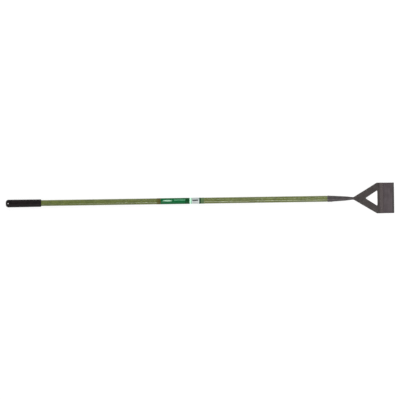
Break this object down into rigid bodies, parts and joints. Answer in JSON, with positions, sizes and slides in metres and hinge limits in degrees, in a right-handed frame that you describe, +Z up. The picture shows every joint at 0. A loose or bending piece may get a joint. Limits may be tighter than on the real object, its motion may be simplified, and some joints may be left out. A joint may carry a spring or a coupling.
{
  "type": "dutch hoe",
  "caption": "Long-handled push hoe: flat wide blade under a V-shaped frame, tapered socket, tube handle and hand grip with a hang hole.",
  "frame": {"origin": "on the floor, below the middle of the tool's bounding box; the tool lies sole down, on the grip and the blade's heel", "axes": "+X along the tool from the grip to the blade's cutting edge, +Y to the left across the blade, +Z up"},
  "size_m": [1.6428, 0.13, 0.0389],
  "materials": {
    "tube_paint": "satin olive powder coat",
    "grip_vinyl": "smooth matte black",
    "label_film": "printed film, satin",
    "sticker_paper": "coated white paper",
    "head_paint": "dark grey satin paint",
    "blade_steel": "dark grey lacquered steel with a ground edge",
    "rivet_steel": "darkened steel"
  },
  "bodies": {
    "root": {"handle_tube": "tube_paint", "grip": "grip_vinyl", "label_sleeve": "label_film", "price_sticker": "sticker_paper", "socket": "head_paint", "socket_rivet": "rivet_steel", "neck": "head_paint", "socket_weld": "head_paint", "head_frame": "head_paint", "frame_welds": "head_paint", "blade": "blade_steel", "blade_rivets": "rivet_steel"}
  },
  "joints": []
}
